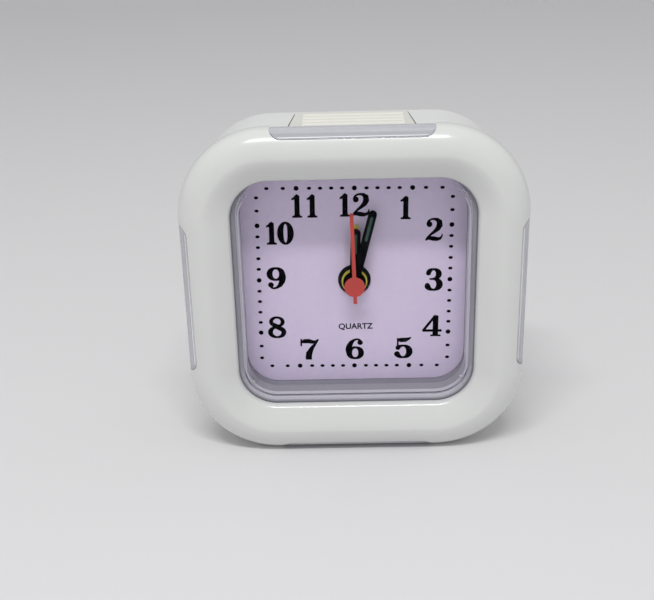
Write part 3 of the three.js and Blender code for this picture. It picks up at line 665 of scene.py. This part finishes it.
# Two small moulding marks low in the window's corners.
MARK_SIDES = 14
mark_profile = [(0.14, 0.3), (0.27, 0.75), (0.33, 1.2)]     # radius, depth behind the pane
mark_places = {"window_mark_left": (-26.65, -25.5), "window_mark_right": (27.05, -24.95)}
for name, (x, z) in mark_places.items():
    vertices, faces = [], []
    for radius, depth in mark_profile:
        mark_loop = circle(x, z, radius, MARK_SIDES)
        vertices += [(px, WALL_FRONT_Y + depth, pz) for px, pz in mark_loop]
    for row in range(len(mark_profile) - 1):
        for i in range(MARK_SIDES):
            j = (i + 1) % MARK_SIDES
            here = row * MARK_SIDES
            faces.append((here + i, here + j, here + MARK_SIDES + j, here + MARK_SIDES + i))
    faces.append(tuple(reversed(range(MARK_SIDES))))
    faces.append(tuple(range(2 * MARK_SIDES, 3 * MARK_SIDES)))
    make_piece(name, vertices, faces, window_ledge, "case", "clear_window", sharp=60.0)

# The tabs follow the ring's dome, 0.1 mm below it. A fine ridge runs along each of them; its
# lighter, more opaque colour is a painted highlight.
TAB_ACROSS = 7.3
TAB_DEEP = 5.5
TAB_CLEARANCE = 0.2
TAB_FLOOR = NOTCH_FLOOR + 0.1
RIDGE_HEIGHT = 0.12
RIDGE_ROWS = 3
front_arc = dome_arc(CROWN_HALF, DOME_Y, TAB_ACROSS, TAB_DEEP, 80, 44, 12)
back_arc = dome_arc(CROWN_HALF, DOME_Y, TAB_ACROSS, TAB_DEEP, 41, 0, 14)
tab_skin_levels = [
    *front_arc,
    (front_arc[-1][0] + RIDGE_HEIGHT, front_arc[-1][1] - RIDGE_HEIGHT),
    (back_arc[0][0] + RIDGE_HEIGHT, back_arc[0][1] - RIDGE_HEIGHT),
    *back_arc,
    (CROWN_HALF + TAB_ACROSS, FLANGE_BACK_Y),
]
row_length = faces_per_row(FINE_STEPS)
first_ridge_face = (len(front_arc) - 1) * row_length
end_ridge_face = first_ridge_face + RIDGE_ROWS * row_length
for quarter, side in enumerate(("top", "right", "bottom", "left")):
    tab = make_piece(
        "window_tab_" + side, *square_skin(tab_skin_levels, False),
        window_tab, "case", "clear_window", sharp=25.0,
    )
    tab.data.materials.append(tab_ridge_highlight)
    for face in tab.data.polygons[first_ridge_face:end_ridge_face]:
        face.material_index = 1
    block = turned_solid(notch_block(TAB_CLEARANCE, TAB_FLOOR), quarter)
    boolean(tab, block, "INTERSECT")
    smooth_by_angle(tab.data, 30.0)
    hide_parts("crystal")

# ---------------------------------------------------------------- numerals
# A numeral is drawn in units of its own height, from z = 0 to 1, about x = 0. It is a list of
# strokes; a stroke is a list of (x, z, half width), and a slab is ("slab", x0, x1, z0, z1).
THIN = 0.048                # half width of a bowl where it lies flat
GLYPH_PITCH = 0.02          # grid step of the outlines
GLYPH_SHIFT = 0.0007        # keeps the grid off the strokes' own edges


def bowl(cx, cz, rx, rz, start, end, thick):
    """Arc of an ellipse that is thick where it runs upright and thin where it lies flat."""
    points = []
    for i in range(33):
        angle = math.radians(start + (end - start) * i / 32)
        upright = abs(math.cos(angle)) ** 1.6
        width = THIN + (thick - THIN) * upright
        points.append((cx + rx * math.cos(angle), cz + rz * math.sin(angle), width))
    return points


def slab(x0, x1, z0, z1):
    """An upright rectangle."""
    return ("slab", x0, x1, z0, z1)


def ball(x, z, radius):
    """A stroke with a single point."""
    return [(x, z, radius)]


def half_turned(strokes):
    """The numeral upside down."""
    result = []
    for stroke in strokes:
        if stroke[0] == "slab":
            result.append(slab(-stroke[2], -stroke[1], 1 - stroke[4], 1 - stroke[3]))
        else:
            result.append([(-x, 1 - z, width) for x, z, width in stroke])
    return result


SIX = [
    bowl(0.03, 0.30, 0.25, 0.262, 0, 360, 0.12),
    [(-0.235, 0.34, 0.12), (-0.245, 0.46, 0.13), (-0.22, 0.62, 0.12), (-0.14, 0.79, 0.095),
     (-0.02, 0.91, 0.055), (0.1, 0.955, 0.042), (0.2, 0.93, 0.045), (0.26, 0.84, 0.05)],
    ball(0.235, 0.79, 0.115),
]
DIGITS = {
    "0": [bowl(0, 0.5, 0.225, 0.46, 0, 360, 0.14)],
    "1": [
        slab(-0.133, 0.133, 0.03, 0.96),
        slab(-0.26, 0.26, 0.0, 0.085),
        [(-0.24, 0.80, 0.045), (-0.12, 0.85, 0.06), (0.0, 0.94, 0.07)],
        [(-0.1, 0.09, 0.06), (0.1, 0.09, 0.06)],
    ],
    "2": [
        ball(-0.21, 0.735, 0.125),
        [(-0.3, 0.78, 0.04), (-0.24, 0.89, 0.042), (-0.12, 0.955, 0.042), (0.0, 0.965, 0.05),
         (0.13, 0.93, 0.08), (0.225, 0.83, 0.12), (0.235, 0.70, 0.13), (0.17, 0.56, 0.11),
         (0.03, 0.42, 0.075), (-0.14, 0.29, 0.05), (-0.28, 0.15, 0.045), (-0.34, 0.05, 0.04)],
        [(-0.3, 0.1, 0.05), (-0.17, 0.13, 0.085), (-0.02, 0.105, 0.1), (0.14, 0.085, 0.085),
         (0.27, 0.11, 0.06), (0.34, 0.2, 0.035), (0.36, 0.29, 0.03)],
    ],
    "3": [
        ball(-0.21, 0.79, 0.1),
        bowl(0.0, 0.755, 0.215, 0.215, 150, -90, 0.12),
        [(-0.13, 0.53, 0.038), (0.06, 0.53, 0.045)],
        bowl(0.0, 0.285, 0.255, 0.245, 90, -155, 0.135),
        ball(-0.245, 0.245, 0.105),
    ],
    "4": [
        slab(0.03, 0.28, 0.04, 0.97),
        slab(-0.07, 0.4, 0.0, 0.08),
        slab(-0.43, 0.44, 0.215, 0.325),
        [(0.12, 0.95, 0.055), (-0.39, 0.28, 0.06)],
        [(0.2, 0.92, 0.07), (0.1, 0.85, 0.06)],
    ],
    "5": [
        [(-0.23, 0.5, 0.036), (-0.23, 0.93, 0.036)],
        [(-0.23, 0.9, 0.05), (-0.1, 0.87, 0.1), (0.08, 0.875, 0.1), (0.22, 0.93, 0.06),
         (0.3, 0.985, 0.03)],
        bowl(-0.01, 0.32, 0.27, 0.28, 140, -155, 0.135),
        ball(-0.25, 0.235, 0.1),
    ],
    "6": SIX,
    "7": [
        [(-0.34, 0.98, 0.03), (-0.34, 0.68, 0.035)],
        [(-0.33, 0.83, 0.05), (-0.2, 0.885, 0.1), (-0.04, 0.89, 0.105), (0.12, 0.85, 0.085),
         (0.26, 0.87, 0.05), (0.35, 0.96, 0.03)],
        [(0.34, 0.93, 0.035), (0.22, 0.74, 0.055), (0.08, 0.53, 0.09), (-0.02, 0.3, 0.13),
         (-0.04, 0.13, 0.125)],
        slab(-0.17, 0.09, 0.0, 0.14),
    ],
    "8": [
        bowl(0.0, 0.755, 0.25, 0.205, 0, 360, 0.085),
        bowl(0.0, 0.265, 0.29, 0.235, 0, 360, 0.105),
        [(-0.2, 0.66, 0.08), (0.0, 0.53, 0.115), (0.21, 0.38, 0.09)],
    ],
    "9": half_turned(SIX),
}

NUMERAL_HEIGHT = 6.05       # millimetres
NUMERAL_WIDTH = {           # how much each digit is widened
    "0": 0.95, "1": 0.8, "2": 0.95, "3": 1.03, "4": 0.95,
    "5": 1.04, "6": 1.04, "7": 1.06, "8": 1.0, "9": 1.06,
}


def distance_to(stroke, X, Z):
    """Signed distance from every grid point to one stroke."""
    if stroke[0] == "slab":
        _, x0, x1, z0, z1 = stroke
        dx = np.abs(X - (x0 + x1) / 2) - (x1 - x0) / 2
        dz = np.abs(Z - (z0 + z1) / 2) - (z1 - z0) / 2
        outside = np.hypot(np.maximum(dx, 0), np.maximum(dz, 0))
        return outside + np.minimum(np.maximum(dx, dz), 0)
    if len(stroke) == 1:
        x, z, radius = stroke[0]
        return np.hypot(X - x, Z - z) - radius
    nearest = np.full(X.shape, 10.0)
    for (ax, az, aw), (bx, bz, bw) in zip(stroke, stroke[1:]):
        length2 = (bx - ax) ** 2 + (bz - az) ** 2
        t = np.clip(((X - ax) * (bx - ax) + (Z - az) * (bz - az)) / length2, 0, 1)
        gap = np.hypot(X - ax - t * (bx - ax), Z - az - t * (bz - az)) - (aw + t * (bw - aw))
        nearest = np.minimum(nearest, gap)
    return nearest


def outlines(strokes):
    """Closed loops round the union of a numeral's strokes, by marching squares."""
    xs = np.arange(-0.6, 0.6, GLYPH_PITCH) + GLYPH_SHIFT
    zs = np.arange(-0.1, 1.1, GLYPH_PITCH) + GLYPH_SHIFT
    X, Z = np.meshgrid(xs, zs, indexing="ij")
    field = np.min([distance_to(stroke, X, Z) for stroke in strokes], axis=0)
    inside = field < 0
    following, place = {}, {}
    for i in range(len(xs) - 1):
        for j in range(len(zs) - 1):
            corners = [(i, j), (i + 1, j), (i + 1, j + 1), (i, j + 1)]
            state = [bool(inside[c]) for c in corners]
            if all(state) or not any(state):
                continue
            enters, leaves = [], []
            for k in range(4):
                a, b = corners[k], corners[(k + 1) % 4]
                if state[k] != state[(k + 1) % 4]:
                    edge = (min(a, b), max(a, b))
                    t = field[a] / (field[a] - field[b])
                    place[edge] = (X[a] + t * (X[b] - X[a]), Z[a] + t * (Z[b] - Z[a]))
                    if state[k]:
                        leaves.append(edge)
                    else:
                        enters.append(edge)
            for start, end in zip(enters, leaves):
                following[start] = end
    loops = []
    while following:
        start, edge = following.popitem()
        loop = [place[start]]
        while edge != start:
            loop.append(place[edge])
            edge = following.pop(edge)
        loops.append(loop)
    return loops


def numeral(digit, cx, cz):
    """One digit's loops in face millimetres, centred on (cx, cz)."""
    width = NUMERAL_HEIGHT * NUMERAL_WIDTH[digit]
    loops = []
    for loop in outlines(DIGITS[digit]):
        placed = [(cx + x * width, cz + (z - 0.5) * NUMERAL_HEIGHT) for x, z in loop]
        loops.append(turned(placed, -PRINT_TURN))
    return loops


ONE_ADVANCE = {10: 3.35, 11: 3.65, 12: 3.75}    # from the 1 to the next digit, by hour
ONE_SHIFT = 0.15                                # the leading 1 stands a little further left
hour_places = {             # the middle of each number: (x, z)
    1: (12.8, 19.2),
    2: (20.0, 13.4),
    3: (20.2, -0.1),
    4: (20.2, -13.0),
    5: (12.8, -19.3),
    6: (0.0, -19.5),
    7: (-11.8, -19.6),
    8: (-20.2, -13.2),
    9: (-19.9, 0.5),
    10: (-19.0, 12.7),
    11: (-12.3, 19.8),
    12: (-0.3, 20.0),
}
print_front = DIAL_Y - PRINT_THICKNESS
parts = []
for hour, (cx, cz) in hour_places.items():
    text = str(hour)
    if len(text) == 1:
        parts.append(extruded(numeral(text, cx, cz), print_front, DIAL_Y))
        continue
    half_advance = ONE_ADVANCE[hour] / 2
    one = numeral("1", cx - half_advance - ONE_SHIFT, cz)
    parts.append(extruded(one, print_front, DIAL_Y))
    parts.append(extruded(numeral(text[1], cx + half_advance, cz), print_front, DIAL_Y))
make_piece("numerals", *merged(parts), ink, "case", "hand_black", sharp=30.0)

# ---------------------------------------------------------------- minute track
TRACK_HALF = 24.4
FIVE_MINUTE_RADIUS = 0.62
MINUTE_HALF_SIZE = (0.55, 0.4)      # the minute dots are printed wider than tall
# How far the dots of a row or column are from its middle dot, as shares of TRACK_HALF. The
# middle dot, place 0, and those at place 5 mark five minutes.
ROW_SPACING = (0.0, 0.124, 0.234, 0.347, 0.459, 0.59, 0.725, 0.892)
COLUMN_SPACING = (0.0, 0.124, 0.242, 0.365, 0.483, 0.603, 0.762, 0.903)
FIVE_MINUTE_PLACES = (0, 5)


def track_dot(x, z, place):
    """The outline of one dot, round for five minutes and oval for a minute."""
    if place in FIVE_MINUTE_PLACES:
        half_width = half_height = FIVE_MINUTE_RADIUS
    else:
        half_width, half_height = MINUTE_HALF_SIZE
    return [(x + half_width * cx, z + half_height * cz) for cx, cz in circle(0, 0, 1.0, 20)]


def both_ways(spacing):
    """(place, distance from the middle) for each dot of a row or column."""
    for place, share in enumerate(spacing):
        for sign in ((1,) if place == 0 else (-1, 1)):
            yield place, sign * share * TRACK_HALF


dots = []
for edge in (-TRACK_HALF, TRACK_HALF):
    dots += [track_dot(run, edge, place) for place, run in both_ways(ROW_SPACING)]
    dots += [track_dot(edge, run, place) for place, run in both_ways(COLUMN_SPACING)]
dots = [extruded([turned(dot, -PRINT_TURN)], print_front, DIAL_Y) for dot in dots]
make_piece("minute_track", *merged(dots), ink, "case", "hand_black", sharp=30.0)

# ---------------------------------------------------------------- generic word under the hands
WORD_SIZE = 2.2
WORD_WEIGHT = 0.045         # how much the letters are thickened
WORD_X = 0.1
WORD_Z = -13.75
word_curve = bpy.data.curves.new("movement_word", "FONT")
word_curve.body = "QUARTZ"
word_curve.size = WORD_SIZE / 1000
word_curve.offset = WORD_WEIGHT / 1000
word_curve.align_x = "CENTER"
word_curve.extrude = PRINT_THICKNESS / 2000
word_object = add_object("movement_word_text", word_curve)
bpy.context.view_layer.update()
word_mesh = bpy.data.meshes.new_from_object(
    word_object.evaluated_get(bpy.context.evaluated_depsgraph_get())
)
bpy.data.objects.remove(word_object)
word = add_object("movement_word", word_mesh)
word_place = to_frame(WORD_X, DIAL_Y - PRINT_THICKNESS / 2, WORD_Z)
word_mesh.transform(Matrix.Rotation(math.radians(90), 4, "X"))
word_mesh.transform(Matrix.Translation(word_place))
word_mesh.materials.clear()
word_mesh.materials.append(ink)
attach(word, "case")


# ---------------------------------------------------------------- luminous strips on the hands
STRIP_HALF_WIDTH = 0.375
STRIP_PROUD = 0.05          # how far the paint stands on the hand
STRIP_SUNK = 0.02           # and how far it goes into it


def strip(name, body, turn, hand_y, start, end):
    """Rounded bar of paint on a hand that points `turn` degrees clockwise from 12."""
    half = STRIP_HALF_WIDTH
    loop = arc(0, end - half, half, 0, 180) + arc(0, start + half, half, 180, 360)
    bar = extruded([turned(loop, turn)], hand_y - STRIP_PROUD, hand_y + STRIP_SUNK)
    make_piece(name, *bar, lume, body, "hand_black")


strip("minute_hand_lume", "minute", turn=14.5, hand_y=6.9, start=11.8, end=18.4)
strip("hour_hand_lume", "hour", turn=2.2, hand_y=7.9, start=7.7, end=13.0)

# ---------------------------------------------------------------- stage, in metres
FLOOR_COLOR = (0.73, 0.725, 0.73)
# Painted shade: the floor is coloured darker further from the clock, standing in for the light
# falling off.
FLOOR_FAR_SHADE = [c * 0.94 for c in FLOOR_COLOR]   # a metre away from the clock
FLOOR_HALF_WIDTH = 2.5
FLOOR_FRONT = -1.6
CURVE_START = 0.9           # where the floor starts to curve up into the backdrop
CURVE_RADIUS = 0.6
BACKDROP_TOP = 2.5

floor_pale = new_material("floor_pale", FLOOR_COLOR, 0.7)
# The floor's painted shade grows with distance from the clock.
spread = node(floor_pale, "ShaderNodeVectorMath", operation="LENGTH")
wire(floor_pale, node(floor_pale, "ShaderNodeTexCoord"), "Object", spread, "Vector")
tint(floor_pale, spread, FLOOR_COLOR, FLOOR_FAR_SHADE, low=0.1, high=1.0)

profile = [
    (FLOOR_FRONT, 0.0),
    *arc(CURVE_START, CURVE_RADIUS, CURVE_RADIUS, -90, 0, 12),
    (CURVE_START + CURVE_RADIUS, BACKDROP_TOP),
]
floor_mesh = bpy.data.meshes.new("floor")
floor_mesh.from_pydata(
    [(x, y, z) for y, z in profile for x in (-FLOOR_HALF_WIDTH, FLOOR_HALF_WIDTH)],
    [],
    [(2 * i, 2 * i + 1, 2 * i + 3, 2 * i + 2) for i in range(len(profile) - 1)],
)
floor = add_object("floor", floor_mesh)
floor_mesh.materials.append(floor_pale)
floor_mesh.shade_smooth()

# ---------------------------------------------------------------- light
world = bpy.data.worlds.new("studio")
bpy.context.scene.world = world
world.use_nodes = True
sky = world.node_tree
background = sky.nodes["Background"]
background.inputs["Strength"].default_value = 1.0
sky_place = sky.nodes.new("ShaderNodeTexCoord")
sky_height = sky.nodes.new("ShaderNodeSeparateXYZ")
sky_ramp = sky.nodes.new("ShaderNodeValToRGB")
sky_ramp.color_ramp.elements[0].position = 0.0
sky_ramp.color_ramp.elements[0].color = (0.54, 0.54, 0.56, 1)
sky_ramp.color_ramp.elements[1].position = 0.9
sky_ramp.color_ramp.elements[1].color = (0.67, 0.675, 0.68, 1)
sky.links.new(sky_place.outputs["Generated"], sky_height.inputs["Vector"])
sky.links.new(sky_height.outputs["Z"], sky_ramp.inputs["Fac"])
sky.links.new(sky_ramp.outputs["Color"], background.inputs["Color"])

KEY_PLACE = Vector((-0.05, -0.39, 0.75))    # metres
KEY_AIM = Vector((0, 0, 0.04))
key_light = bpy.data.lights.new("key", "AREA")
key_light.shape = "RECTANGLE"
key_light.size = 0.45
key_light.size_y = 0.06
key_light.energy = 3.3
key = add_object("key", key_light)
key.location = KEY_PLACE
key.rotation_euler = (KEY_AIM - KEY_PLACE).to_track_quat("-Z", "Y").to_euler()

# ---------------------------------------------------------------- camera
# Its place and direction follow from the perspective of the ring and the dial.
CAMERA_PLACE = to_frame(-2.0, -241.5, 100.2)
CAMERA_RIGHT = Vector((0.9996, 0.0100, -0.0249))
CAMERA_FORWARD = Vector((-0.0189, 0.9217, -0.3873))
camera_data = bpy.data.cameras.new("camera")
camera_data.sensor_width = 36.0
camera_data.lens = 58.2
camera_data.clip_start = 0.01
camera = add_object("camera", camera_data)
right = CAMERA_RIGHT.normalized()
forward = CAMERA_FORWARD.normalized()
up = right.cross(forward).normalized()
turn = Matrix((right, up, -forward)).transposed().to_4x4()
camera.matrix_world = Matrix.Translation(CAMERA_PLACE) @ turn
bpy.context.scene.camera = camera
bpy.context.scene.view_settings.view_transform = "Standard"

# ---------------------------------------------------------------- final update
bpy.context.view_layer.update()
